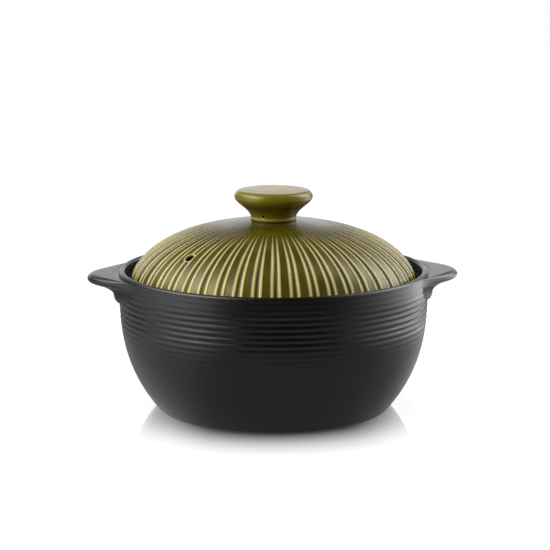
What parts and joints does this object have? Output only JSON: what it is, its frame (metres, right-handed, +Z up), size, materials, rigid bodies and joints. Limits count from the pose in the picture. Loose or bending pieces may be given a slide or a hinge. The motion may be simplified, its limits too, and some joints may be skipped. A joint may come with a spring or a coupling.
{
  "type": "earthenware pot",
  "caption": "Round stoneware casserole with ridged sides and lug handles, and a domed, fluted lid with a mushroom knob, for slow cooking and serving.",
  "frame": {"origin": "centre of the bounding box in plan, at the underside of the foot ring", "axes": "+Z is up through the knob, +X runs from one lug to the other, +Y is the side away from the viewer"},
  "size_m": [0.2804, 0.2328, 0.1651],
  "materials": {
    "charcoal_stoneware": "matt, unglazed charcoal black",
    "olive_glaze": "glossy olive green glaze, thin and cream on raised edges"
  },
  "bodies": {
    "pot": {"pot_body": "charcoal_stoneware", "left_handle": "charcoal_stoneware", "right_handle": "charcoal_stoneware"},
    "lid": {"lid": "olive_glaze", "lid_knob": "olive_glaze"}
  },
  "joints": [
    {"name": "lid_lift", "type": "slide", "parent": "pot", "child": "lid", "axis": [0, 0, 1], "range_m": [0, 0.12]}
  ]
}
